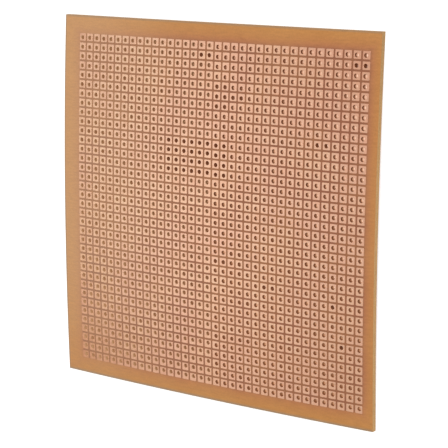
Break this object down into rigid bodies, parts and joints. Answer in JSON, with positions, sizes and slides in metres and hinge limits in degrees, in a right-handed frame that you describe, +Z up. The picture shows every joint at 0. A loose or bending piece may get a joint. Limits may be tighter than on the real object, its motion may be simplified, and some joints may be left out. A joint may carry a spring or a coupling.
{
  "type": "prototype board",
  "caption": "Square single-sided prototype board of tan paper laminate, slightly bowed, with a square copper pad round every lead hole.",
  "frame": {"origin": "middle of the square outline, level with the four lower corners that the board rests on", "axes": "+Z up, out of the copper side; +X along the rows, towards the narrower side margin; +Y along the columns, towards row 1"},
  "size_m": [0.0992, 0.1, 0.0041],
  "materials": {
    "laminate": "smooth satin phenolic paper laminate",
    "copper": "bare etched copper foil, lightly tarnished"
  },
  "bodies": {
    "root": {"laminate": "laminate", "pads_row_01": "copper", "pads_row_02": "copper", "pads_row_03": "copper", "pads_row_04": "copper", "pads_row_05": "copper", "pads_row_06": "copper", "pads_row_07": "copper", "pads_row_08": "copper", "pads_row_09": "copper", "pads_row_10": "copper", "pads_row_11": "copper", "pads_row_12": "copper", "pads_row_13": "copper", "pads_row_14": "copper", "pads_row_15": "copper", "pads_row_16": "copper", "pads_row_17": "copper", "pads_row_18": "copper", "pads_row_19": "copper", "pads_row_20": "copper", "pads_row_21": "copper", "pads_row_22": "copper", "pads_row_23": "copper", "pads_row_24": "copper", "pads_row_25": "copper", "pads_row_26": "copper", "pads_row_27": "copper", "pads_row_28": "copper", "pads_row_29": "copper", "pads_row_30": "copper", "pads_row_31": "copper", "pads_row_32": "copper", "pads_row_33": "copper", "pads_row_34": "copper", "pads_row_35": "copper", "pads_row_36": "copper"}
  },
  "joints": []
}
